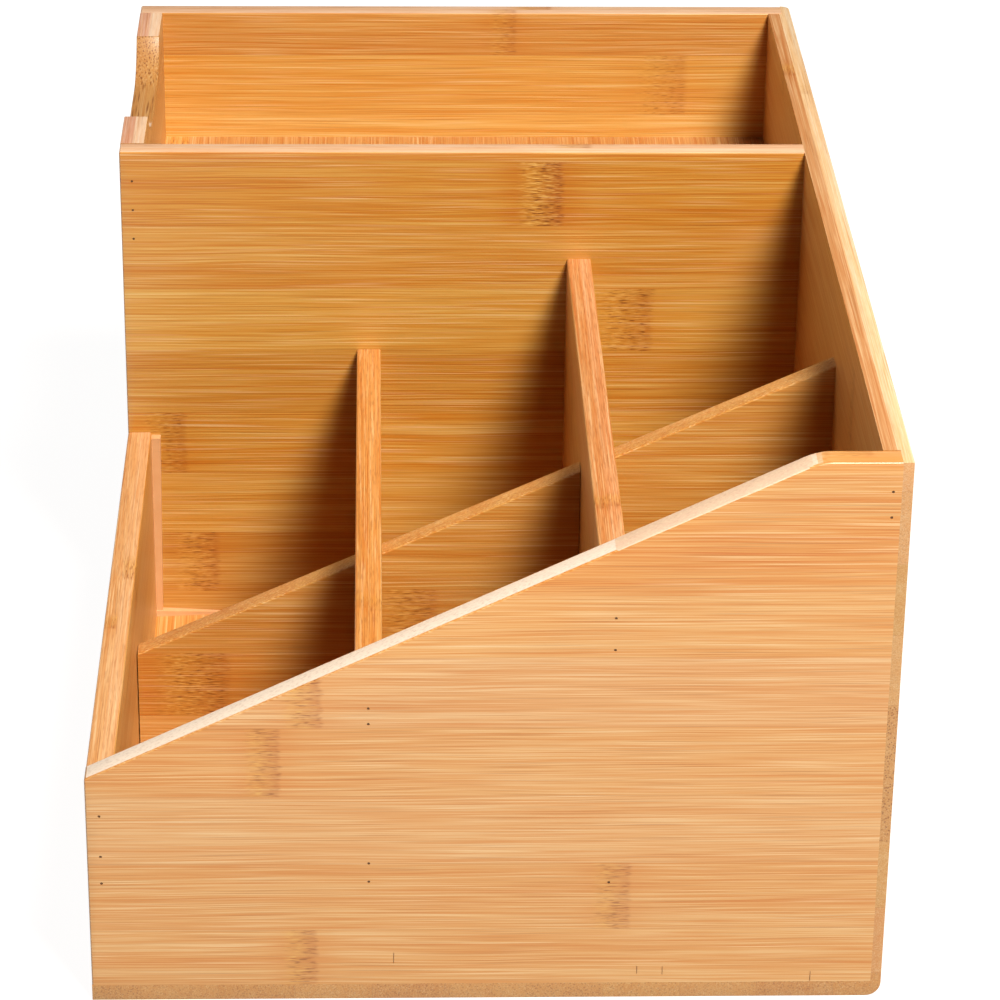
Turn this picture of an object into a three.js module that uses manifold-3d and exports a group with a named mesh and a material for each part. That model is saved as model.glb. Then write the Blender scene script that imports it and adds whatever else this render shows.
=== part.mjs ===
// Bamboo desk organizer: a tall bay with a raised tray at the left, and six
// open cells behind a low front wall at the right. It is built as a joiner
// builds it, from flat boards that are rebated, housed, half lapped and pinned.
//
// Millimetres, +Z up. The user sits at -Y. +X is the long direction, and the
// origin is the middle of the footprint on the table.

import * as THREE from 'three';
import { mergeVertices } from 'three/addons/utils/BufferGeometryUtils.js';
import Module from 'manifold-3d';

const wasm = await Module();
wasm.setup();

// ---------------------------------------------------------------- dimensions

// Overall size of the assembled organizer.
const LENGTH = 328; // along X
const DEPTH = 205; // along Y
const HEIGHT = 155; // top of the tall boards

// Board thicknesses.
const BOARD = 7; // carcass boards
const BOTTOM = 4.5; // bottom board
const TRAY_BOARD = 7; // raised tray floor
const PARTITION = 7; // the two cross dividers
const LONG_PARTITION = 6.5; // the sloping long divider

// Low front wall, and the slope of the right side that starts on top of it.
const FRONT_HEIGHT = 65.5;
const SIDE_RISE = 0.8; // low end of the right side above the front wall
const SIDE_LEVEL = 20.3; // level part of the right side's top, at the back

// The tall bay at the left end: clear width, and the tray hung inside it.
const BAY_WIDTH = 111;
const TRAY_DEPTH = 41.7; // from the top edge down to the tray floor
const HOUSING = 2; // groove depth that holds the tray floor

// Finger scoop in the tray rail.
const SCOOP_WIDTH = 68;
const SCOOP_DEPTH = 10;
const SCOOP_RADIUS = 25;

// Cell dividers.
const MIDDLE_CELL = 54.5; // clear gap between the two cross dividers
const FAR_CELL = 90.5; // clear gap between the bay divider and the long divider
const CROSS_FRONT_DROP = 6.9; // top of a cross divider below the right side's slope
const CROSS_BACK_DROP = 7.9;
const LONG_FRONT_DROP = 22; // top of the long divider below the front wall's top
const LONG_BACK_DROP = 23.1; // and below the back wall's top

// Rebates, roundings and clearances.
const BACK_LIP = 2.7; // back wall left standing behind each end panel
const CORNER_RADIUS = 4; // lower back edge of the bottom board
const LAP_FIT = 0.3; // slack across each half lap
const END_FIT = 0.3; // slack at the front end of the long divider

// Headless steel pins.
const PIN_DIAMETER = 0.7;
const PIN_LENGTH = 18;
const PIN_SIDES = 8;
const PIN_FIT = 0.05; // slack between a pin and its hole, on diameter
const PIN_SET = 0.1; // depth of a pin's head below the face
const PIN_INSET = 9; // from the end of a board to its outermost pin

// ------------------------------------------------------- positions worked out

const LEFT = -LENGTH / 2;
const RIGHT = LENGTH / 2;
const FRONT = -DEPTH / 2;
const BACK = DEPTH / 2;

const leftInner = LEFT + BOARD;
const rightInner = RIGHT - BOARD;
const frontInner = FRONT + BOARD;
const backInner = BACK - BOARD;
const endPanelBack = BACK - BACK_LIP;

const bayDividerLeft = leftInner + BAY_WIDTH;
const bayDividerRight = bayDividerLeft + BOARD;

const trayTop = HEIGHT - TRAY_DEPTH;
const trayBottom = trayTop - TRAY_BOARD;

// Height of the right side's sloping top at any Y.
const slopeBack = endPanelBack - SIDE_LEVEL;
const slopeFront = FRONT_HEIGHT + SIDE_RISE;
const slopeTopAt = (y) => {
  const share = (y - FRONT) / (slopeBack - FRONT);
  return slopeFront + share * (HEIGHT - slopeFront);
};

// The two cross dividers stand symmetrically about the middle of the depth.
const crossAt = (front, drop) => ({ front, height: slopeTopAt(front) - drop });
const crossFront = crossAt(-MIDDLE_CELL / 2 - PARTITION, CROSS_FRONT_DROP);
const crossBack = crossAt(MIDDLE_CELL / 2, CROSS_BACK_DROP);
const crosses = [crossFront, crossBack];

const longLeft = bayDividerRight + FAR_CELL;
const longRight = longLeft + LONG_PARTITION;
const longFront = frontInner + END_FIT;

// Height of the long divider's sloping top at any Y.
const longTopAt = (y) => {
  const share = (y - frontInner) / (backInner - frontInner);
  const low = FRONT_HEIGHT - LONG_FRONT_DROP;
  const high = HEIGHT - LONG_BACK_DROP;
  return low + share * (high - low);
};

// A half lap meets half way up the long divider, above the bottom board.
const lapHeight = (cross) => (BOTTOM + longTopAt(cross.front)) / 2;

// ------------------------------------------------------------------- helpers

const toManifold = (geometry) => {
  const plain = geometry.index ? geometry.toNonIndexed() : geometry.clone();
  plain.deleteAttribute('normal');
  plain.deleteAttribute('uv');
  const merged = mergeVertices(plain, 1e-4);
  return new wasm.Manifold(new wasm.Mesh({
    numProp: 3,
    vertProperties: new Float32Array(merged.attributes.position.array),
    triVerts: new Uint32Array(merged.index.array),
  }));
};

// A board or a cut with square edges, from its six limits.
const box = (x0, x1, y0, y1, z0, z1) => {
  const geometry = new THREE.BoxGeometry(x1 - x0, y1 - y0, z1 - z0);
  geometry.translate((x0 + x1) / 2, (y0 + y1) / 2, (z0 + z1) / 2);
  return toManifold(geometry);
};

// A board whose side view is an outline in Y and Z, from x0 to x1.
const boardAlongX = (outline, x0, x1) => {
  const geometry = new THREE.ExtrudeGeometry(outline, {
    depth: x1 - x0, bevelEnabled: false, curveSegments: 8,
  });
  geometry.rotateX(Math.PI / 2);
  geometry.rotateZ(Math.PI / 2);
  geometry.translate(x0, 0, 0);
  return toManifold(geometry);
};

// A board whose front view is an outline in X and Z, from y0 to y1.
const boardAlongY = (outline, y0, y1) => {
  const geometry = new THREE.ExtrudeGeometry(outline, {
    depth: y1 - y0, bevelEnabled: false, curveSegments: 12,
  });
  geometry.rotateX(Math.PI / 2);
  geometry.translate(0, y1, 0);
  return toManifold(geometry);
};

// A straight-sided outline from its corners.
const polygon = (corners) => new THREE.Shape(corners.map(([u, v]) => new THREE.Vector2(u, v)));

// A round rod from a start point, along a unit direction.
const rod = (start, direction, diameter, length) => {
  const geometry = new THREE.CylinderGeometry(diameter / 2, diameter / 2, length, PIN_SIDES);
  geometry.translate(0, length / 2, 0);
  const turn = new THREE.Quaternion().setFromUnitVectors(
    new THREE.Vector3(0, 1, 0), new THREE.Vector3(...direction));
  geometry.applyQuaternion(turn);
  geometry.translate(...start);
  return toManifold(geometry);
};

// -------------------------------------------------------------------- boards

// Bottom board: full footprint, lower back edge rounded over.
const buildBottom = () => {
  const outline = new THREE.Shape();
  outline.moveTo(FRONT, 0);
  outline.lineTo(BACK - CORNER_RADIUS, 0);
  outline.absarc(BACK - CORNER_RADIUS, CORNER_RADIUS, CORNER_RADIUS, -Math.PI / 2, 0, false);
  outline.lineTo(BACK, BOTTOM);
  outline.lineTo(FRONT, BOTTOM);
  return boardAlongX(outline, LEFT, RIGHT);
};

// Back wall: full length, with a rebate at each end that takes an end panel,
// and a groove across the bay for the tray floor.
const buildBack = () => box(LEFT, RIGHT, backInner, BACK, BOTTOM, HEIGHT)
  .subtract(box(LEFT - 1, leftInner, backInner - 1, endPanelBack, BOTTOM - 1, HEIGHT + 1))
  .subtract(box(rightInner, RIGHT + 1, backInner - 1, endPanelBack, BOTTOM - 1, HEIGHT + 1))
  .subtract(traySlot());

// Right side: low in front, straight slope, short level part at the back.
const buildRightSide = () => boardAlongX(polygon([
  [FRONT, BOTTOM],
  [endPanelBack, BOTTOM],
  [endPanelBack, HEIGHT],
  [slopeBack, HEIGHT],
  [FRONT, slopeFront],
]), rightInner, RIGHT);

const buildLeftEnd = () => box(LEFT, leftInner, FRONT, endPanelBack, BOTTOM, HEIGHT)
  .subtract(traySlot());

const buildBayDivider = () => box(
  bayDividerLeft, bayDividerRight, FRONT, backInner, BOTTOM, HEIGHT,
).subtract(traySlot());

// Tray floor: its two ends and its back edge sit in grooves. The grooves stop
// behind the rail, so that no groove shows at the front.
const trayLimits = () => [
  leftInner - HOUSING, bayDividerLeft + HOUSING, frontInner, backInner + HOUSING,
];

const traySlot = () => box(...trayLimits(), trayBottom, trayTop);

const buildTrayFloor = () => {
  const shelf = box(...trayLimits(), trayBottom, trayTop);
  const nose = box(leftInner, bayDividerLeft, FRONT, frontInner, trayBottom, trayTop);
  return shelf.add(nose);
};

// Tray rail: stands on the front edge of the tray floor, scooped for fingers.
const buildRail = () => {
  const middle = (leftInner + bayDividerLeft) / 2;
  const angle = Math.acos(1 - SCOOP_DEPTH / SCOOP_RADIUS);
  const half = SCOOP_WIDTH / 2;
  const flat = half - SCOOP_RADIUS * Math.sin(angle);
  const centre = HEIGHT - SCOOP_DEPTH + SCOOP_RADIUS;
  const down = -Math.PI / 2;
  const outline = new THREE.Shape();
  outline.moveTo(leftInner, trayTop);
  outline.lineTo(bayDividerLeft, trayTop);
  outline.lineTo(bayDividerLeft, HEIGHT);
  outline.lineTo(middle + half, HEIGHT);
  outline.absarc(middle + flat, centre, SCOOP_RADIUS, down + angle, down, true);
  outline.absarc(middle - flat, centre, SCOOP_RADIUS, down, down - angle, true);
  outline.lineTo(leftInner, HEIGHT);
  return boardAlongY(outline, FRONT, frontInner);
};

const buildFrontWall = () => box(
  bayDividerRight, rightInner, FRONT, frontInner, BOTTOM, FRONT_HEIGHT,
);

// Cross divider: level top, slotted from below over the long divider.
const buildCross = (cross) => box(
  bayDividerRight, rightInner, cross.front, cross.front + PARTITION, BOTTOM, cross.height,
).subtract(box(
  longLeft - LAP_FIT / 2, longRight + LAP_FIT / 2,
  cross.front - 1, cross.front + PARTITION + 1,
  BOTTOM - 1, lapHeight(cross) + LAP_FIT,
));

// Long divider: sloping top, slotted from above under each cross divider.
const buildLong = () => {
  let board = boardAlongX(polygon([
    [longFront, BOTTOM],
    [backInner, BOTTOM],
    [backInner, longTopAt(backInner)],
    [longFront, longTopAt(longFront)],
  ]), longLeft, longRight);
  for (const cross of crosses) {
    board = board.subtract(box(
      longLeft - 1, longRight + 1,
      cross.front - LAP_FIT / 2, cross.front + PARTITION + LAP_FIT / 2,
      lapHeight(cross), HEIGHT,
    ));
  }
  return board;
};

const boards = {
  bottom_board: buildBottom(),
  back_wall: buildBack(),
  right_side: buildRightSide(),
  left_end: buildLeftEnd(),
  bay_divider: buildBayDivider(),
  front_wall: buildFrontWall(),
  tray_floor: buildTrayFloor(),
  tray_rail: buildRail(),
  cross_divider_front: buildCross(crossFront),
  cross_divider_back: buildCross(crossBack),
  long_divider: buildLong(),
};

// ---------------------------------------------------------------------- pins

// Each row of pins goes through one board into the next. A row has a driving
// direction, and the points on the outer face where its pins go in.
const intoX = (x, inward, y, heights) => ({
  direction: [inward, 0, 0],
  points: heights.map((z) => [x, y, z]),
});

const intoY = (y, inward, x, heights) => ({
  direction: [0, inward, 0],
  points: heights.map((z) => [x, y, z]),
});

const fromBelow = (points) => ({
  direction: [0, 0, 1],
  points: points.map(([x, y]) => [x, y, 0]),
});

// Places at the given distances below or in front of an edge.
const below = (edge, distances) => distances.map((distance) => edge - distance);

// Places spread evenly between two edges.
const spread = (low, high, count) => Array.from(
  { length: count }, (_, index) => low + (high - low) * (index + 0.5) / count);

const frontMiddle = (FRONT + frontInner) / 2;
const backMiddle = (BACK + backInner) / 2;
const rebateMiddle = (backInner + endPanelBack) / 2;
const crossMiddle = (cross) => cross.front + PARTITION / 2;
const endMiddle = (LEFT + leftInner) / 2;
const sideMiddle = (RIGHT + rightInner) / 2;
const bayMiddle = (bayDividerLeft + bayDividerRight) / 2;

const railPins = below(HEIGHT, [PIN_INSET, 2 * PIN_INSET, 3 * PIN_INSET]);
const backPins = [PIN_INSET + BOTTOM, HEIGHT / 2, ...below(HEIGHT, [2 * PIN_INSET, PIN_INSET])];
const sidePins = below(endPanelBack, [15.5, 61, 124]);
const boardPins = spread(FRONT, BACK, 3);
const bayPins = spread(leftInner, bayDividerLeft, 2);
const cellPins = spread(bayDividerRight, rightInner, 3);

const pinRows = {
  side_front: intoX(RIGHT, -1, frontMiddle, below(FRONT_HEIGHT, [10, 22, 30])),
  side_back: intoX(RIGHT, -1, rebateMiddle, below(HEIGHT, [8, 15])),
  side_cross_front: intoX(RIGHT, -1, crossMiddle(crossFront),
    below(crossFront.height, [6, 10.5, 51.5, 57])),
  side_cross_back: intoX(RIGHT, -1, crossMiddle(crossBack),
    below(crossBack.height, [9.5, 18.5, 86.5])),
  bay_rail: intoX(bayDividerRight, -1, frontMiddle, railPins),
  end_rail: intoX(LEFT, 1, frontMiddle, railPins),
  end_back: intoX(LEFT, 1, rebateMiddle, backPins),
  back_bay: intoY(BACK, -1, bayMiddle, backPins),
  bottom_side: fromBelow(sidePins.map((y) => [sideMiddle, y])),
  bottom_end: fromBelow(boardPins.map((y) => [endMiddle, y])),
  bottom_bay: fromBelow(boardPins.map((y) => [bayMiddle, y])),
  bottom_front: fromBelow(cellPins.map((x) => [x, frontMiddle])),
  bottom_back: fromBelow([...bayPins, ...cellPins].map((x) => [x, backMiddle])),
};

// The point that lies a distance along a direction from another point.
const along = (point, direction, distance) => point.map(
  (value, axis) => value + direction[axis] * distance);

const pins = {};
for (const [rowName, { direction, points }] of Object.entries(pinRows)) {
  points.forEach((point, index) => {
    const head = along(point, direction, PIN_SET);
    pins[`pin_${rowName}_${index + 1}`] = rod(head, direction, PIN_DIAMETER, PIN_LENGTH);
    // The hole starts outside the face and stops just past the pin's point.
    const mouth = along(point, direction, -1);
    const reach = 1 + PIN_SET + PIN_LENGTH + PIN_FIT;
    const hole = rod(mouth, direction, PIN_DIAMETER + PIN_FIT, reach);
    for (const name of Object.keys(boards)) boards[name] = boards[name].subtract(hole);
  });
}

// ------------------------------------------------------------------ assembly

const bamboo = { color: 0xd9a25f, roughness: 0.45, metalness: 0 };
const steel = { color: 0x6b5a4a, roughness: 0.4, metalness: 1 };

const organizer = new THREE.Group();
organizer.name = 'desk_organizer';

const place = (name, solid, look) => {
  const mesh = solid.getMesh();
  const shared = new THREE.BufferGeometry();
  shared.setAttribute('position', new THREE.BufferAttribute(mesh.vertProperties, 3));
  shared.setIndex(new THREE.BufferAttribute(mesh.triVerts, 1));
  const geometry = shared.toNonIndexed(); // every face keeps its own flat shade
  geometry.computeVertexNormals();
  const node = new THREE.Mesh(geometry, new THREE.MeshStandardMaterial(look));
  node.name = name;
  organizer.add(node);
};

for (const [name, solid] of Object.entries(boards)) place(name, solid, bamboo);
for (const [name, solid] of Object.entries(pins)) place(name, solid, steel);

export default organizer;
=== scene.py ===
"""Bamboo desk organizer: a tall bay with a raised tray, and six open cells behind a low front wall.

Every board is laid up from bamboo strips, so each board here is divided into its strips, and each
strip has its own colour and its own node. Metres, +Z up, the user at -Y, in the CAD part's frame.
"""

import math
import random

import bpy
from mathutils import Matrix, Vector


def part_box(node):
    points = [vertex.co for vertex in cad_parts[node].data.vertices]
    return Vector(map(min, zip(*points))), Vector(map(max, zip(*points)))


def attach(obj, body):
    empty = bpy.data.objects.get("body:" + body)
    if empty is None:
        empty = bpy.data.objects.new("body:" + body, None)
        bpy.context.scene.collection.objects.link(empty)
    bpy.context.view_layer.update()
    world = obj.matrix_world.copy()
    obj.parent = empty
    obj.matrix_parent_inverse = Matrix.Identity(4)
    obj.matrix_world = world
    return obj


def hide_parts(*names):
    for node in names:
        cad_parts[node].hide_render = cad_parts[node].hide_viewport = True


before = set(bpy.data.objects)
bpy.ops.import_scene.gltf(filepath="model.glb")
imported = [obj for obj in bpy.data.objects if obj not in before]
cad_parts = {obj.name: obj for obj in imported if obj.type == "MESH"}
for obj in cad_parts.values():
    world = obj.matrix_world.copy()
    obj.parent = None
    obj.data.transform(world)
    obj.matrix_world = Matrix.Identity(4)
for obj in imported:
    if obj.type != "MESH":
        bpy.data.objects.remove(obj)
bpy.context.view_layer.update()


# ---------------------------------------------------------------- bottom board
# A thin flat board under the whole organizer, with its grain along the length. It is laid up from
# flat-pressed bamboo strips, sanded, and sprayed with a satin lacquer. The walls are pinned to it
# from below, and its lower back edge is rounded over.

MM = 0.001
STRIP = 20 * MM  # width of one bamboo strip
STRIPS = range(-20, 20)  # the strips to either side of a seam, with some to spare
EASE = 0.6 * MM  # the sanded arris of a board
FOOT_ROUND = 4 * MM  # the rounded lower back edge
PIN_HOLE = 0.38 * MM  # radius of the hole round a wire pin
# How much each width of streak deepens the colour, from broad bands to single fibres.
BROAD_DEPTH, MIDDLE_DEPTH, FINE_DEPTH, HAIR_DEPTH = 0.46, 0.26, 1.05, 0.95
NODE_RAGGED = 3.2  # how far the edge of a node wanders along the grain, in millimetres
LACQUER_CLEAR = 0.78  # the share of the light that the lacquer lets through


def srgb(hex_code):
    """A colour given as an sRGB hex value, as the linear colour that a shader takes."""
    channels = [int(hex_code[i:i + 2], 16) / 255 for i in (0, 2, 4)]
    linear = [c / 12.92 if c <= 0.04045 else ((c + 0.055) / 1.055) ** 2.4 for c in channels]
    return (*linear, 1.0)


def add(tree, kind, inputs=(), output=0, **settings):
    """Adds a shader node. Each input takes a value, or the socket that feeds it."""
    node = tree.nodes.new("ShaderNode" + kind)
    for name, value in settings.items():
        setattr(node, name, value)
    for key, value in inputs.items() if isinstance(inputs, dict) else enumerate(inputs):
        if isinstance(value, bpy.types.NodeSocket):
            tree.links.new(value, node.inputs[key])
        elif value is not None:
            node.inputs[key].default_value = value
    return node.outputs[output] if node.outputs else node


def new_material(name):
    """A material with an empty node tree."""
    material = bpy.data.materials.new(name)
    material.use_nodes = True
    material.node_tree.nodes.clear()
    return material, material.node_tree


def lacquered_bamboo():
    """Caramelised flat-pressed bamboo, sanded and sprayed with satin lacquer.

    The fibres run along the strip: a long face shows hair-fine streaks, a sawn end shows dark dots,
    and a slanting cut shows short dashes and looks pale. Each strip has a node in it, a band of short
    broken fibres. "fibre" holds the place in the strip in millimetres, along, across and into it;
    "strip" holds its colour and a number of its own; "cut" says how squarely a face cuts the grain, how
    wide the strip's node is in millimetres, and how strong; and "side_grain" says how plainly the
    bundles show, from 0 on a board's face to 1 on its edge.
    """
    material, tree = new_material("bamboo_flat_pressed_satin_lacquer")
    fibre = add(tree, "Attribute", output=1, attribute_name="fibre")
    along = add(tree, "SeparateXYZ", [fibre], 0)
    across = add(tree, "SeparateXYZ", [fibre], 1)
    into = add(tree, "SeparateXYZ", [fibre], 2)
    colour = add(tree, "Attribute", output=0, attribute_name="strip")
    own = add(tree, "Attribute", output=3, attribute_name="strip")
    cut = add(tree, "Attribute", output=1, attribute_name="cut")
    sawn = add(tree, "SeparateXYZ", [cut], 0)
    width = add(tree, "SeparateXYZ", [cut], 1)
    strength = add(tree, "SeparateXYZ", [cut], 2)

    # The fibres wander a little to the side as they run, and start afresh in each strip.
    start = add(tree, "Math", [own, 53.0], operation="MULTIPLY")
    slow = add(tree, "CombineXYZ", [
        add(tree, "Math", [along, 1 / 60], operation="MULTIPLY"),
        add(tree, "Math", [across, 1 / 12], operation="MULTIPLY"), start])
    sway = add(tree, "TexNoise", {"Vector": slow, "Scale": 1.0, "Detail": 1.0})
    sideways = add(tree, "Math", [sway, 1.4, start], operation="MULTIPLY_ADD")
    wandering = add(tree, "CombineXYZ", [
        add(tree, "Math", [along, start]), add(tree, "Math", [across, sideways]),
        add(tree, "Math", [into, start])])

    def fibres(length, width, shift, detail=1.0):
        """Noise drawn out along the grain: the length and width of one mark, in millimetres."""
        drawn = add(tree, "VectorMath", [wandering, (1 / length, 1 / width, 1 / width), (shift,) * 3],
                    operation="MULTIPLY_ADD")
        return add(tree, "TexNoise", {"Vector": drawn, "Scale": 1.0, "Detail": detail, "Roughness": 0.5})

    # Where the fibres crowd together the wood is deeper and warmer, as a power of its colour.
    depth = add(tree, "Math", [fibres(170, 3.4, 5.0), BROAD_DEPTH, 1 - BROAD_DEPTH / 2],
                operation="MULTIPLY_ADD")
    depth = add(tree, "Math", [fibres(70, 1.2, 17.0), MIDDLE_DEPTH, depth], operation="MULTIPLY_ADD")
    depth = add(tree, "Math", [fibres(80, 0.36, 29.0), FINE_DEPTH, depth], operation="MULTIPLY_ADD")
    depth = add(tree, "Math", [fibres(24, 0.22, 97.0, 2.0), HAIR_DEPTH, depth], operation="MULTIPLY_ADD")
    depth = add(tree, "Math", [depth, -(MIDDLE_DEPTH + FINE_DEPTH + HAIR_DEPTH) / 2])

    # The node: a band of short broken fibres, crisp on one side and feathered on the other.
    ragged = add(tree, "TexNoise", {
        "Vector": add(tree, "CombineXYZ", [across, start]), "Scale": 1.1, "Detail": 2.0})
    from_node = add(tree, "Math", [ragged, NODE_RAGGED, along], operation="MULTIPLY_ADD")
    from_node = add(tree, "Math", [from_node, -NODE_RAGGED / 2])
    from_node = add(tree, "Math", [from_node, width], operation="DIVIDE")
    crisp = add(tree, "MapRange", {"Value": from_node, "From Min": 0.56, "From Max": 0.36},
                interpolation_type="SMOOTHSTEP")
    feathered = add(tree, "MapRange", {"Value": from_node, "From Min": -0.75, "From Max": -0.10},
                    interpolation_type="SMOOTHSTEP")
    band = add(tree, "Math", [crisp, feathered], operation="MULTIPLY")
    band = add(tree, "Math", [band, strength], operation="MULTIPLY")
    distance = add(tree, "Math", [from_node], operation="ABSOLUTE")
    halo = add(tree, "MapRange", {"Value": distance, "From Min": 1.4, "From Max": 0.3},
               interpolation_type="SMOOTHSTEP")
    halo = add(tree, "Math", [halo, strength], operation="MULTIPLY")
    depth = add(tree, "Math", [halo, 0.14, depth], operation="MULTIPLY_ADD")
    wood = add(tree, "Gamma", [colour, depth])
    amber = add(tree, "Math", [band, 0.5], operation="MULTIPLY", use_clamp=True)
    turned = add(tree, "MapRange", {"Value": from_node, "From Min": -0.5, "From Max": 0.4})
    deep = add(tree, "Mix", {0: turned, 6: srgb("dca03c"), 7: srgb("b0601a")}, 2, data_type="RGBA")
    wood = add(tree, "Mix", {0: amber, 6: wood, 7: deep}, 2, data_type="RGBA")

    # Hair lines: a few pale, a few brown.
    line = fibres(36, 0.32, 41.0, 0.0)
    pale = add(tree, "MapRange", {"Value": line, "From Min": 0.62, "From Max": 0.80, "To Max": 0.45})
    wood = add(tree, "Mix", {0: pale, 6: wood, 7: srgb("fbd9a4")}, 2, data_type="RGBA")
    brown = add(tree, "MapRange", {"Value": line, "From Min": 0.36, "From Max": 0.20, "To Max": 0.42})
    wood = add(tree, "Mix", {0: brown, 6: wood, 7: srgb("a4652a")}, 2, data_type="RGBA")

    # Broken fibres in the node.
    broken = fibres(2.9, 0.34, 71.0)
    pale = add(tree, "MapRange", {"Value": broken, "From Min": 0.55, "From Max": 0.68, "To Max": 0.85})
    pale = add(tree, "Math", [pale, band], operation="MULTIPLY")
    fading = add(tree, "MapRange", {"Value": turned, "To Min": 1.0, "To Max": 0.35})
    pale = add(tree, "Math", [pale, fading], operation="MULTIPLY")
    wood = add(tree, "Mix", {0: pale, 6: wood, 7: srgb("eebb64")}, 2, data_type="RGBA")
    dark = add(tree, "MapRange", {"Value": broken, "From Min": 0.44, "From Max": 0.28, "To Max": 1.0})
    dark = add(tree, "Math", [dark, band], operation="MULTIPLY")
    wood = add(tree, "Mix", {0: dark, 6: wood, 7: srgb("8a4a14")}, 2, data_type="RGBA")

    # A slanting cut scatters the light in its open fibre ends, and turns pale.
    slant = add(tree, "MapRange", {"Value": sawn, "From Min": 0.15, "From Max": 0.38},
                interpolation_type="SMOOTHSTEP")
    square = add(tree, "MapRange", {"Value": sawn, "From Min": 0.6, "From Max": 0.95},
                 interpolation_type="SMOOTHSTEP")
    slanting = add(tree, "Math", [slant, square], operation="SUBTRACT")
    paler = add(tree, "Math", [slanting, 0.90], operation="MULTIPLY")
    duller = add(tree, "Math", [square, 0.45], operation="MULTIPLY")
    wood = add(tree, "Mix", {0: duller, 6: wood, 7: srgb("b98448")}, 2, data_type="RGBA")
    wood = add(tree, "Mix", {0: paler, 6: wood, 7: srgb("fff0dc")}, 2, data_type="RGBA")

    # Vessel bundles: dark dots in a sawn end, dashes in a slanting cut, hardly seen along the grain.
    drawn = add(tree, "VectorMath", [wandering, (1 / 14, 1 / 0.66, 1 / 0.66)], operation="MULTIPLY")
    cells = add(tree, "TexVoronoi", {"Vector": drawn, "Scale": 1.0}, feature="F1")
    bundle = add(tree, "MapRange", {"Value": cells, "From Min": 0.44, "From Max": 0.18})
    shown = add(tree, "MapRange", {"Value": sawn, "From Min": 0.1, "From Max": 0.9,
                                   "To Min": 0.05, "To Max": 0.55})
    dots = add(tree, "Math", [bundle, shown], operation="MULTIPLY")
    crowded = add(tree, "Math", [strength, 0.9, 0.1], operation="MULTIPLY_ADD")
    dots = add(tree, "Math", [dots, crowded], operation="MULTIPLY", use_clamp=True)
    wood = add(tree, "Mix", {0: dots, 6: wood, 7: srgb("8c5424")}, 2, data_type="RGBA")

    # The edge of a board shows the side of its strips: the bundles lie there as short brown dashes.
    side_grain = add(tree, "Attribute", output=2, attribute_name="side_grain")
    dashes = add(tree, "MapRange", {
        "Value": fibres(5.0, 0.34, 83.0), "From Min": 0.50, "From Max": 0.34, "To Max": 0.42})
    dashes = add(tree, "Math", [dashes, side_grain], operation="MULTIPLY")
    wood = add(tree, "Mix", {0: dashes, 6: wood, 7: srgb("a25c26")}, 2, data_type="RGBA")

    # Glue line: a hair of darker resin where two strips meet.
    seam = add(tree, "MapRange", {"Value": across, "From Min": 0.20, "From Max": 0.05, "To Max": 0.35})
    faces_only = add(tree, "Math", [side_grain, 0.01], operation="LESS_THAN")
    seam = add(tree, "Math", [seam, faces_only], operation="MULTIPLY")
    wood = add(tree, "Mix", {0: seam, 6: wood, 7: srgb("9a5e28")}, 2, data_type="RGBA")

    fine = fibres(80, 0.36, 29.0)
    rough = add(tree, "MapRange", {"Value": fine, "To Min": 0.38, "To Max": 0.50})
    height = add(tree, "Math", [bundle, -0.5, fine], operation="MULTIPLY_ADD")
    bump = add(tree, "Bump", {"Height": height, "Strength": 0.10, "Distance": 0.04 * MM})
    # The lacquer has an amber tint of its own, and takes a little of the light.
    wood = add(tree, "VectorMath", [wood, (LACQUER_CLEAR,) * 3], operation="MULTIPLY")
    shader = add(tree, "BsdfPrincipled", {
        "Base Color": wood, "Roughness": rough, "Normal": bump,
        "IOR": 1.5, "Coat Weight": 0.3, "Coat Roughness": 0.28, "Coat IOR": 1.48})
    add(tree, "OutputMaterial", {"Surface": shader})
    return material


BAMBOO = lacquered_bamboo()
AXES = {"X": 0, "Y": 1, "Z": 2}
TONES = ("dc9a4c", "df9f52", "d89546", "e0a050", "d69248")  # caramelised bamboo, strip by strip


def only(board):
    """Selects one piece, and nothing else."""
    if bpy.context.object and bpy.context.object.mode == "EDIT":
        bpy.ops.object.mode_set(mode="OBJECT")
    bpy.ops.object.select_all(action="DESELECT")
    if board:
        board.select_set(True)
        bpy.context.view_layer.objects.active = board


def rough_board(name, low, high):
    """A squared-up board between two corners, with its place in its mesh."""
    only(None)
    bpy.ops.mesh.primitive_cube_add(size=1, location=(Vector(low) + Vector(high)) / 2,
                                    scale=Vector(high) - Vector(low))
    board = bpy.context.object
    board.name = board.data.name = name
    bpy.ops.object.transform_apply(location=True, rotation=True, scale=True)
    return board


def saw(board, point, normal, keep_both=False):
    """Cuts a board along a plane, and drops what lies on the side that the normal points to."""
    only(board)
    bpy.ops.object.mode_set(mode="EDIT")
    bpy.ops.mesh.select_all(action="SELECT")
    bpy.ops.mesh.bisect(plane_co=point, plane_no=normal, use_fill=not keep_both,
                        clear_outer=not keep_both, clear_inner=False)
    bpy.ops.object.mode_set(mode="OBJECT")


def cut_with(board, cutter):
    """Takes a cutter's shape out of a board."""
    only(board)
    bite = board.modifiers.new("bite", "BOOLEAN")
    bite.operation, bite.object, bite.solver = "DIFFERENCE", cutter, "EXACT"
    bpy.ops.object.modifier_apply(modifier="bite")
    bpy.data.objects.remove(cutter)


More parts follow.
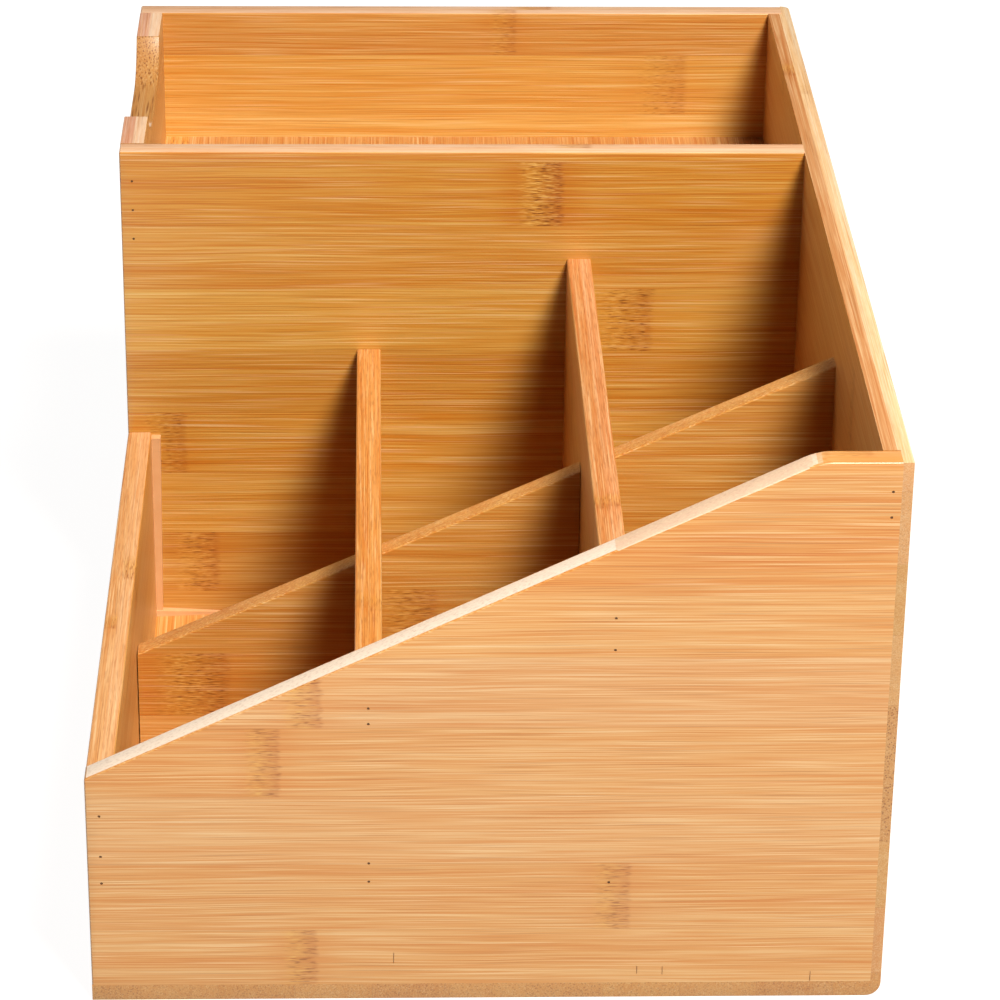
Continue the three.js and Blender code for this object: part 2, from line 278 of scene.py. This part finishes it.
def bevel_edges(piece, picks, **how):
    """Bevels the edges that a test of their two ends picks."""
    only(piece)
    bpy.ops.object.mode_set(mode="EDIT")
    bpy.ops.mesh.select_mode(type="EDGE")
    bpy.ops.mesh.select_all(action="DESELECT")
    bpy.ops.object.mode_set(mode="OBJECT")
    for edge in piece.data.edges:
        edge.select = picks(*(piece.data.vertices[v].co for v in edge.vertices))
    bpy.ops.object.mode_set(mode="EDIT")
    bpy.ops.mesh.bevel(affect="EDGES", **how)
    bpy.ops.object.mode_set(mode="OBJECT")


def round_over(board, radius, segments, picks):
    """Rounds the edges that a test of their two ends picks."""
    bevel_edges(board, picks, offset=radius, segments=segments)


def ease(board, node, width=EASE, segments=3):
    """Sands the free arrises of a board. Those that meet another board stay sharp."""
    others = [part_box(name) for name in sorted(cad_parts)
              if name != node and not name.startswith("pin_")]
    reach = Vector((1, 1, 1)) * 0.35 * MM  # a little more than the slack of a joint
    least_turn = math.radians(15)  # less than this is a step of a rounded corner, and has no arris
    mesh = board.data
    weight = mesh.attributes.new("bevel_weight_edge", "FLOAT", "EDGE")
    beside = {}
    for face in mesh.polygons:
        for key in face.edge_keys:
            beside.setdefault(key, []).append(face.normal)
    for edge in mesh.edges:
        middle = (mesh.vertices[edge.vertices[0]].co + mesh.vertices[edge.vertices[1]].co) / 2
        meets = any(all((low - reach)[k] < middle[k] < (high + reach)[k] for k in range(3))
                    for low, high in others)
        sharp = beside[edge.key][0].angle(beside[edge.key][-1]) > least_turn
        weight.data[edge.index].value = float(sharp and not meets)
    only(board)
    sanding = board.modifiers.new("ease", "BEVEL")
    sanding.width, sanding.segments, sanding.limit_method = width, segments, "WEIGHT"
    bpy.ops.object.modifier_apply(modifier="ease")


def drill(board, rows):
    """Opens the holes in which the pins of the given rows stand."""
    starts = tuple(f"pin_{row}_" for row in rows)
    for pin in sorted(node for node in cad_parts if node.startswith(starts)):
        low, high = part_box(pin)
        size = high - low
        axis = max(range(3), key=lambda i: size[i])
        turn = [(0, math.pi / 2, 0), (math.pi / 2, 0, 0), (0, 0, 0)][axis]
        only(None)
        bpy.ops.mesh.primitive_cylinder_add(vertices=12, radius=PIN_HOLE, depth=size[axis] + 1 * MM,
                                            location=(low + high) / 2, rotation=turn)
        cut_with(board, bpy.context.object)


def lay_up(board, grain, across, into, plies, seed, edges=None, openness=1.0, dashes=0.3):
    """Divides a board into its strips, and gives each its colour and its node.

    grain, across and into name the axes along the fibres, across the strips and through the board.
    plies lists, from the low side of "into" up, the place of a seam, and for some of the strips
    counted from there their colour, where their node crosses them, how wide it is and how strong,
    in millimetres. edges gives the colour of the board's edge in each ply: the side of its strips,
    and, where that edge is the top, partly a painted highlight for the light from above. dashes
    says how plainly its bundles show there. openness scales how squarely a cut seems to cross the
    fibres.
    """
    draw = random.Random(seed)
    g, a, i = AXES[grain], AXES[across], AXES[into]
    points = [v.co for v in board.data.vertices]
    low = [min(p[k] for p in points) for k in range(3)]
    high = [max(p[k] for p in points) for k in range(3)]
    unit = [Vector([float(k == n) for k in range(3)]) for n in range(3)]
    ply_depth = (high[i] - low[i]) / len(plies)
    for n in range(1, len(plies)):
        saw(board, unit[i] * (low[i] + n * ply_depth), unit[i], keep_both=True)
    for first, _ in plies:
        for place in (first + n * STRIP for n in STRIPS):
            if low[a] + 0.5 * MM < place < high[a] - 0.5 * MM:
                saw(board, unit[a] * place, unit[a], keep_both=True)

    strips = {}
    for ply, (first, known) in enumerate(plies):
        for n in STRIPS:
            any_strip = (draw.choice(TONES), draw.uniform(low[g], high[g]) / MM,
                         draw.uniform(7, 13), draw.uniform(0.5, 1))
            own_number = draw.uniform(0, 90)
            told = known.get(n, ())
            strips[ply, n] = (own_number, *told, *any_strip[len(told):])

    mesh = board.data
    kinds = {"fibre": "FLOAT_VECTOR", "strip": "FLOAT_COLOR", "cut": "FLOAT_VECTOR", "side_grain": "FLOAT"}
    for name, kind in kinds.items():
        mesh.attributes.new(name, kind, "CORNER")
    fibre, strip, cut, side_grain = (mesh.attributes[name].data for name in kinds)
    for face in mesh.polygons:
        ply = min(len(plies) - 1, max(0, int((face.center[i] - low[i]) / ply_depth)))
        first = plies[ply][0]
        n = math.floor((face.center[a] - first) / STRIP)
        own_number, colour, node, width, strength = strips[ply, n]
        on_edge = abs(face.normal[g]) < 0.6 and abs(face.normal[i]) < 0.5
        outermost = min(abs(face.center[a] - low[a]), abs(face.center[a] - high[a])) < 1 * MM
        # A board's edge takes its edge colour: the side of its strips, and on the top edge partly a
        # painted highlight for the light from above.
        if edges and on_edge and outermost and abs(face.normal[g]) < 0.35:
            colour = edges[ply]
        sawn = min(1.0, abs(face.normal[g]) * openness)
        longest = max((mesh.vertices[p].co - mesh.vertices[q].co).length for p, q in face.edge_keys)
        if face.area / longest < EASE:  # an eased arris takes the look of the face beside it
            sawn = round(sawn)
        for corner in face.loop_indices:
            p = mesh.vertices[mesh.loops[corner].vertex_index].co
            fibre[corner].vector = (p[g] / MM - node, (p[a] - first - n * STRIP) / MM,
                                    (p[i] - low[i]) / MM)
            strip[corner].color = (*srgb(colour)[:3], own_number)
            cut[corner].vector = (sawn, width, strength)
            side_grain[corner].value = dashes * on_edge
    mesh.materials.clear()
    mesh.materials.append(BAMBOO)


def fit(board, node):
    """The finished board stands in the assembly for its CAD node."""
    only(board)
    bpy.ops.object.shade_smooth_by_angle(angle=math.radians(25))
    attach(board, "root")
    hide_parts(node)


low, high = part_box("bottom_board")
bottom = rough_board("bottom_board_bamboo", low, high)
round_over(bottom, FOOT_ROUND, 8, lambda p, q: min(p.y, q.y) > high.y - 0.01 * MM
           and max(p.z, q.z) < low.z + 0.01 * MM)
ease(bottom, "bottom_board", 0.4 * MM)
drill(bottom, ["bottom_side", "bottom_end", "bottom_bay", "bottom_front", "bottom_back"])
lay_up(bottom, "X", "Y", "Z", [(-90 * MM, {})], seed=11)
fit(bottom, "bottom_board")


# ------------------------------------------------------------------- back wall
# The longest board, full height, pressed from two plies with the grain along the length. A rebate at
# each end takes the end panel and leaves a thin lip of end grain showing beside it.

FAR_CORNER = 2.5 * MM  # the upright corner at the far end is sanded round, as deep as the lip allows


def rout(board, low, high):
    """Takes a square-edged bite out of a board: a rebate, a housing or a lap."""
    cut_with(board, rough_board("cutter", low, high))


low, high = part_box("back_wall")
back = rough_board("back_wall_bamboo", low, high)
side_low, side_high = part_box("right_side")
end_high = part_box("left_end")[1]
rout(back, (side_low.x, low.y - MM, low.z - MM), (high.x + MM, side_high.y, high.z + MM))
rout(back, (low.x - MM, low.y - MM, low.z - MM), (end_high.x, end_high.y, high.z + MM))
tray_low, tray_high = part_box("tray_floor")
rout(back, (tray_low.x, low.y - MM, tray_low.z), (tray_high.x, tray_high.y, tray_high.z))
round_over(back, FAR_CORNER, 6, lambda p, q: max(p.x, q.x) < low.x + 0.01 * MM
           and min(p.y, q.y) > high.y - 0.01 * MM)
ease(back, "back_wall")
drill(back, ["back_bay"])
lay_up(back, "X", "Z", "Y", [
    (8 * MM, {}),
    (7 * MM, {0: ("e2a060", -140, 8, 0.1), 1: ("dda862", 60, 8, 0.1), 2: ("d39a58", -60, 8, 1.7),
              3: ("d39a58", -20, 9, 1.7), 4: ("e0ac6c", 30, 8, 0.3), 5: ("d6a45e", 90, 8, 0.2),
              6: ("e4ac70", -90, 8, 0.5), 7: ("e8b078", -90, 8, 0.3)}),
], seed=23, edges=("cf9058", "ecc696"))
fit(back, "back_wall")


# ------------------------------------------------------------------ right side
# The side that faces the room: low in front, sawn on a straight slope, then level for a finger's
# width. Its grain runs from front to back, so the sloping saw cut shows broken fibre ends. Pins hold
# it to the front wall, the back wall and the two cross dividers.

SIDE_RISE = 0.8 * MM  # how far the front corner stands above the front wall
SIDE_LEVEL = 20.3 * MM  # length of the level part
SIDE_CORNER = 3 * MM  # the corner between slope and level is sanded round
UPPER_STRIPS = 135 * MM  # above this height the strips are denser
DENSE_CUT = 0.28  # how squarely the cut seems to run there
CRACK_DEPTH = 0.4 * MM
CRACK_WIDTH = 0.18 * MM


def show_cut(board, openness_at):
    """Sets how squarely the fibres look cut, wherever a test of a face and a corner gives a value."""
    cut = board.data.attributes["cut"].data
    for face in board.data.polygons:
        for corner in face.loop_indices:
            openness = openness_at(face, board.data.vertices[board.data.loops[corner].vertex_index].co)
            if openness is not None:
                cut[corner].vector = (openness, *cut[corner].vector[1:])


low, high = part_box("right_side")
side = rough_board("right_side_bamboo", low, high)
foot = Vector((0, low.y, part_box("front_wall")[1].z + SIDE_RISE))
head = Vector((0, high.y - SIDE_LEVEL, high.z))
slope = head - foot
saw(side, foot, (0, -slope.z, slope.y))
round_over(side, SIDE_CORNER, 5, lambda p, q: (p - q).cross(Vector((1, 0, 0))).length < 0.01 * MM
           and abs(p.y - head.y) < 0.1 * MM and abs(p.z - head.z) < 0.1 * MM)
ease(side, "right_side")
# A few pins from below passed close under the face, and split it in short upright cracks.
for crack_y, crack_low, crack_high in ((-24.4, 10.8, 14.0), (38.7, 7.2, 9.6), (45.3, 6.8, 9.4),
                                       (83.9, 4.4, 7.6)):
    rout(side, (high.x - CRACK_DEPTH, crack_y * MM - CRACK_WIDTH / 2, crack_low * MM),
         (high.x + MM, crack_y * MM + CRACK_WIDTH / 2, crack_high * MM))
drill(side, ["side_front", "side_back", "side_cross_front", "side_cross_back"])
lay_up(side, "Y", "Z", "X", [
    (11 * MM, {}),
    (21 * MM, {-1: ("dea05a", -48, 8, 0.7), 0: ("dd9e58", 32, 9, 0.6), 1: ("e0a564", 160),
               2: ("de9f5a", -57, 8, 0.7), 3: ("e0a566", -47, 9, 0.7), 4: ("e0a15a", 170),
               5: ("dd964a", 190), 6: ("dd9a50", 170)}),
], seed=37, edges=("e3a25e", "e3a25e"))
# The cut fibre ends of the denser strips turned less pale.
show_cut(side, lambda face, corner: DENSE_CUT
         if 0.3 < abs(face.normal.y) < 0.6 and face.center.z > UPPER_STRIPS else None)
fit(side, "right_side")


# -------------------------------------------------------------------- left end
# The far end panel of the tall bay, a plain full-height board pressed from two plies. It stands in
# the back wall's rebate, is pinned there and to the rail, and carries the tray floor in a housing.

left_end = rough_board("left_end_bamboo", *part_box("left_end"))
rail_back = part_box("tray_rail")[1].y
rout(left_end, (tray_low.x, rail_back, tray_low.z),
     (tray_high.x, tray_high.y + 10 * MM, tray_high.z))
ease(left_end, "left_end")
drill(left_end, ["end_rail", "end_back"])
lay_up(left_end, "Y", "Z", "X", [
    (9 * MM, {}),
    (1 * MM, {7: ("d49040", 12, 8, 0.6), 6: ("df9e44", 63, 15, 0.6), 5: ("e4a64c", 200)}),
], seed=41, edges=("e6b890", "e8bd98"))
fit(left_end, "left_end")


# ----------------------------------------------------------------- bay divider
# The full-height panel between the tall bay and the cells. Its front edge covers the end of the tray
# rail, which is pinned through it, and a housing on its far face carries the tray floor.

bay = rough_board("bay_divider_bamboo", *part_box("bay_divider"))
rout(bay, (tray_high.x - 4 * MM, rail_back, tray_low.z),
     (tray_high.x, tray_high.y + 10 * MM, tray_high.z))
ease(bay, "bay_divider")
drill(bay, ["bay_rail", "back_bay"])
lay_up(bay, "Y", "Z", "X", [
    (2 * MM, {}),
    (12 * MM, {-1: ("d2923c", 150), 0: ("d2923c", -82, 12, 0.9), 1: ("d89a40", 190),
               2: ("d8963a", -91, 12, 0.8), 3: ("cf8c32", 150), 4: ("da9c40", 45, 16, 0.9),
               5: ("d6933a", -160), 6: ("d28b2e", 20, 12, 1.5), 7: ("d28b2e", 170)}),
], seed=53, edges=("f0bf94", "f2c49a"))
fit(bay, "bay_divider")


# ------------------------------------------------------------------ front wall
# The low wall in front of the cells, pressed from two plies with the grain along the length. Its ends
# butt against the bay divider and the right side, and it is pinned from the side and from below.

front = rough_board("front_wall_bamboo", *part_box("front_wall"))
ease(front, "front_wall")
lay_up(front, "X", "Z", "Y", [
    (5 * MM, {}),
    (15 * MM, {}),
], seed=61, edges=("e0a468", "e0a872"), dashes=0.7)
fit(front, "front_wall")


# ------------------------------------------------------------------ tray floor
# The raised floor of the tall bay. Its ends and back stand in housings, and its front edge carries
# the rail.

HOUSING = 2 * MM  # depth
low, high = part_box("tray_floor")
shelf = rough_board("tray_floor_bamboo", low, high)
rout(shelf, (low.x - MM, low.y - MM, low.z - MM), (low.x + HOUSING, rail_back, high.z + MM))
rout(shelf, (high.x - HOUSING, low.y - MM, low.z - MM), (high.x + MM, rail_back, high.z + MM))
ease(shelf, "tray_floor", 0.3 * MM, 2)
lay_up(shelf, "X", "Y", "Z", [
    (-95 * MM, {}),
    (-88 * MM, {n: ("c88642",) for n in range(10)}),
], seed=71)
fit(shelf, "tray_floor")


# ------------------------------------------------------------------- tray rail
# The front of the tray, with a shallow scoop sawn in its top edge for the fingers. It stands on the
# tray floor between the two panels.

SCOOP_DEPTH = 10 * MM
SCOOP_RADIUS = 25 * MM
SCOOP_WIDTH = 68 * MM
ROUGH_CUT, SMOOTH_CUT = 2.0, 0.85  # how squarely the scoop seems cut, at its far and its near end
low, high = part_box("tray_rail")
rail = rough_board("tray_rail_bamboo", low, high)
middle = (low.x + high.x) / 2
rise = math.acos(1 - SCOOP_DEPTH / SCOOP_RADIUS)
reach = SCOOP_WIDTH / 2 + SCOOP_RADIUS * (1 - math.sin(rise))
floor_z = high.z - SCOOP_DEPTH
drum = rough_board("scoop_drum", (middle - reach, low.y - MM, floor_z),
                   (middle + reach, high.y + MM, floor_z + 60 * MM))
round_over(drum, SCOOP_RADIUS, 24, lambda p, q: max(p.z, q.z) < floor_z + 0.01 * MM
           and abs(p.x - q.x) < 0.01 * MM)
cut_with(rail, drum)
ease(rail, "tray_rail")
drill(rail, ["bay_rail", "end_rail"])
lay_up(rail, "X", "Z", "Y", [
    (95 * MM, {2: ("c98a48", 150, 8, 1.8), 1: ("cd8e4a", 150, 8, 0.6)}),
    (103 * MM, {2: ("cf9450", 170, 8, 1.8), 1: ("cf9450", 170, 8, 1.4)}),
], seed=83, edges=("e0a684", "f0c8a2"), openness=8.0)
# The saw left the scoop rough, level part and all, except towards its near end.
show_cut(rail, lambda face, corner: (ROUGH_CUT if corner.x < middle else SMOOTH_CUT)
         if face.normal.z > 0.3 and face.center.z < high.z - MM and face.center.x < middle + MM
         else None)
fit(rail, "tray_rail")


# -------------------------------------------------------------- cross dividers
# Two level-topped boards between the bay divider and the right side, the back one taller. Each is
# slotted from below, and drops over the long divider in a half lap.

LAP_FIT = 0.3 * MM  # slack across a half lap
long_low, long_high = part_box("long_divider")


def cross_divider(node, plies, edges, seed):
    """Saws, slots and lays up one cross divider."""
    low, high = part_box(node)
    board = rough_board(f"{node}_bamboo", low, high)
    # The slot goes as high as the CAD piece's own.
    slot_top = max(v.co.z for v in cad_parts[node].data.vertices
                   if long_low.x - MM < v.co.x < long_high.x + MM and v.co.z < high.z - 5 * MM)
    rout(board, (long_low.x - LAP_FIT / 2, low.y - MM, low.z - MM),
         (long_high.x + LAP_FIT / 2, high.y + MM, slot_top))
    ease(board, node)
    lay_up(board, "X", "Z", "Y", plies, seed, edges=edges, dashes=1.0)
    fit(board, node)


cross_divider("cross_divider_front", [
    (14 * MM, {3: ("dd9244", 118, 8, 0.5)}),
    (5 * MM, {4: ("e09a4c", 120, 8, 0.5)}),
], ("d98c40", "dc954a"), 97)
cross_divider("cross_divider_back", [
    (3 * MM, {5: ("db9048", 119, 7, 0.6)}),
    (16 * MM, {5: ("df9650", 118, 7, 0.6)}),
], ("d48a4c", "da945c"), 101)


# ---------------------------------------------------------------- long divider
# A thinner board from the front wall to the back wall, with its top sawn on a slope. It is slotted
# from above, so that the cross dividers pass over it.

low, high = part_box("long_divider")
divider = rough_board("long_divider_bamboo", low, high)
points = [v.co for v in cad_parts["long_divider"].data.vertices]
foot = max((p for p in points if p.y < low.y + 0.1 * MM), key=lambda p: p.z)
head = max((p for p in points if p.y > high.y - 0.1 * MM), key=lambda p: p.z)
slope = head - foot
saw(divider, Vector((0, foot.y, foot.z)), (0, -slope.z, slope.y))
for node in ("cross_divider_front", "cross_divider_back"):
    cross_low, cross_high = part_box(node)
    # The slot goes as low as the CAD piece's own.
    slot_floor = min(p.z for p in points
                     if cross_low.y - MM < p.y < cross_high.y + MM and p.z > low.z + MM)
    rout(divider, (low.x - MM, cross_low.y - LAP_FIT / 2, slot_floor),
         (high.x + MM, cross_high.y + LAP_FIT / 2, high.z + MM))
ease(divider, "long_divider")
lay_up(divider, "Y", "Z", "X", [
    (6 * MM, {}),
    (4 * MM, {1: ("d48c3a", -79, 19, 1.0), 2: ("d08c3c", -19, 15, 0.8), 3: ("d2903e", -150),
              4: ("d2903e", -150), 5: ("d2903e", -150)}),
], seed=113, openness=0.42, dashes=0.8)
fit(divider, "long_divider")


# ------------------------------------------------------------------- glue bead
# Some of the glue squeezed out in the corner of the front inner cell, and dried there as a pale,
# glossy bead: up the joint of the bay divider and the front wall, and a short way along the floor.

def dried_glue():
    """White wood glue, dried: pale amber, slightly cloudy and glossy."""
    material, tree = new_material("wood_glue_dried")
    place = add(tree, "TexCoord", output=3)
    cloud = add(tree, "TexNoise", {"Vector": place, "Scale": 160.0, "Detail": 3.0})
    tint = add(tree, "Mix", {0: cloud, 6: srgb("c98f58"), 7: srgb("dcae80")}, 2, data_type="RGBA")
    rough = add(tree, "MapRange", {"Value": cloud, "To Min": 0.22, "To Max": 0.42})
    bump = add(tree, "Bump", {"Height": cloud, "Strength": 0.2, "Distance": 0.1 * MM})
    shader = add(tree, "BsdfPrincipled", {
        "Base Color": tint, "Roughness": rough, "Normal": bump, "IOR": 1.46})
    add(tree, "OutputMaterial", {"Surface": shader})
    return material


GLUE = dried_glue()
BEAD_TOP = 2.7 * MM  # width of the upright bead at its top
BEAD_FOOT = 1.9 * MM  # and at its foot
BEAD_TOP_GAP = 0.8 * MM  # it ends this far below the top of the front wall
FLOOR_BEAD_LENGTH, FLOOR_BEAD_WIDTH = 22 * MM, 2.6 * MM
FLOOR_BEAD_TIP = 0.35  # the share of its width that is left at its tip
corner = Vector((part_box("bay_divider")[1].x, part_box("front_wall")[1].y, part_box("bottom_board")[1].z))
bead_top_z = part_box("front_wall")[1].z - BEAD_TOP_GAP
floor_tip_y = corner.y + FLOOR_BEAD_LENGTH


def bead(name, low, high, run, tip, thin, picks):
    """A cove of glue along a joint, thinned towards its tip, with its free edge hollowed."""
    piece = rough_board(name, low, high)
    for vertex in piece.data.vertices:
        if abs(vertex.co[run] - tip) < 0.01 * MM:
            for k in range(3):
                if k != run:
                    vertex.co[k] = low[k] + (vertex.co[k] - low[k]) * thin
    bevel_edges(piece, picks, offset=80, offset_type="PERCENT", segments=6, profile=0.3)
    piece.data.materials.clear()
    piece.data.materials.append(GLUE)
    only(piece)
    bpy.ops.object.shade_smooth_by_angle(angle=math.radians(50))
    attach(piece, "root")


bead("glue_bead_upright", corner, (corner.x + BEAD_TOP, corner.y + BEAD_TOP, bead_top_z),
     AXES["Z"], corner.z, BEAD_FOOT / BEAD_TOP,
     lambda p, q: min(p.x, q.x) > corner.x + 0.5 * MM and min(p.y, q.y) > corner.y + 0.5 * MM)
bead("glue_bead_floor", corner, (corner.x + FLOOR_BEAD_WIDTH, floor_tip_y, corner.z + BEAD_FOOT),
     AXES["Y"], floor_tip_y, FLOOR_BEAD_TIP,
     lambda p, q: min(p.x, q.x) > corner.x + 0.5 * MM and min(p.z, q.z) > corner.z + 0.5 * MM)


# ------------------------------------------------------------------------ pins
# Headless pins of 0.7 mm steel wire, shot in flush with the faces of the boards. They have gone dull
# brown under the lacquer, and keep their CAD shape.

def dull_steel():
    """Soft steel wire, darkened: a small dull metal dot in the end of each hole."""
    material, tree = new_material("steel_wire_dull")
    place = add(tree, "TexCoord", output=3)
    spots = add(tree, "TexNoise", {"Vector": place, "Scale": 2500.0, "Detail": 2.0})
    rough = add(tree, "MapRange", {"Value": spots, "To Min": 0.45, "To Max": 0.75})
    tint = add(tree, "Mix", {0: spots, 6: srgb("4a2c18"), 7: srgb("74502f")}, 2, data_type="RGBA")
    shader = add(tree, "BsdfPrincipled", {"Base Color": tint, "Roughness": rough, "Metallic": 0.3})
    add(tree, "OutputMaterial", {"Surface": shader})
    return material


PIN_STEEL = dull_steel()
for name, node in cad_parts.items():
    if name.startswith("pin_"):
        node.data.materials.clear()
        node.data.materials.append(PIN_STEEL)


# ------------------------------------------------------- floor, light, camera
# The organizer stands on a light table. A soft key hangs high on the user's right, beyond the back
# wall, and a weak fill behind the user's left shoulder.

FLOOR_GLOW = 0.95
SKY_LIGHT, GROUND_LIGHT = 0.06, 0.94  # the room above, and the glow of the table from below


def light_table():
    """A white acrylic light table: matt, and lit from below so that shadows on it are faint."""
    material, tree = new_material("light_table")
    place = add(tree, "TexCoord", output=3)
    tooth = add(tree, "TexNoise", {"Vector": place, "Scale": 40.0, "Detail": 3.0})
    tint = add(tree, "Mix", {0: tooth, 6: srgb("6c6b6a"), 7: srgb("706f6e")}, 2, data_type="RGBA")
    shader = add(tree, "BsdfPrincipled", {
        "Base Color": tint, "Roughness": 0.9, "Specular IOR Level": 0.1,
        "Emission Color": (1, 1, 1, 1), "Emission Strength": FLOOR_GLOW})
    add(tree, "OutputMaterial", {"Surface": shader})
    return material


only(None)
bpy.ops.mesh.primitive_plane_add(size=12, location=(0, 0, 0))
floor = bpy.context.object
floor.name = "light_table"
floor.data.materials.append(light_table())
floor.visible_diffuse = False  # its bounce comes from the lower half of the world instead


def soft_box(name, place, target, size, power, tint):
    """A square lamp at a place, turned to a target."""
    light = bpy.data.lights.new(name, "AREA")
    light.shape, light.size, light.energy = "SQUARE", size, power
    light.color = srgb(tint)[:3]
    lamp = bpy.data.objects.new(name, light)
    lamp.location = place
    lamp.rotation_euler = (Vector(target) - Vector(place)).to_track_quat("-Z", "Y").to_euler()
    bpy.context.scene.collection.objects.link(lamp)


soft_box("key", (0.92, 0.55, 1.54), (0, 0, 0.08), 0.52, 65, "fffaf4")
soft_box("fill", (-0.70, -1.50, 1.20), (0, 0, 0.08), 1.20, 8, "ffe9d6")

world = bpy.data.worlds.new("studio")
world.use_nodes = True
tree = world.node_tree
tree.nodes.clear()
skyward = add(tree, "SeparateXYZ", [add(tree, "TexCoord", output=0)], 2)
strength = add(tree, "MapRange", {"Value": skyward, "From Min": -0.05, "From Max": 0.05,
                                  "To Min": GROUND_LIGHT, "To Max": SKY_LIGHT})
light = add(tree, "Background", {"Color": srgb("fffdf8"), "Strength": strength})
add(tree, "OutputWorld", {"Surface": light})
bpy.context.scene.world = world
bpy.context.scene.view_settings.view_transform = "Standard"

lens = bpy.data.cameras.new("studio_camera")
lens.sensor_width, lens.lens = 36, 142
camera = bpy.data.objects.new("studio_camera", lens)
CAMERA_PLACE = Vector((1.0222, -0.0287, 0.5779))
CAMERA_TURN, CAMERA_TILT, CAMERA_ROLL = (math.radians(a) for a in (87.984, 26.75, 0.787))
camera.matrix_world = (Matrix.Translation(CAMERA_PLACE) @ Matrix.Rotation(CAMERA_TURN, 4, "Z")
                       @ Matrix.Rotation(math.pi / 2 - CAMERA_TILT, 4, "X")
                       @ Matrix.Rotation(CAMERA_ROLL, 4, "Z"))
lens.clip_start, lens.clip_end = 0.05, 50
bpy.context.scene.collection.objects.link(camera)
bpy.context.scene.camera = camera
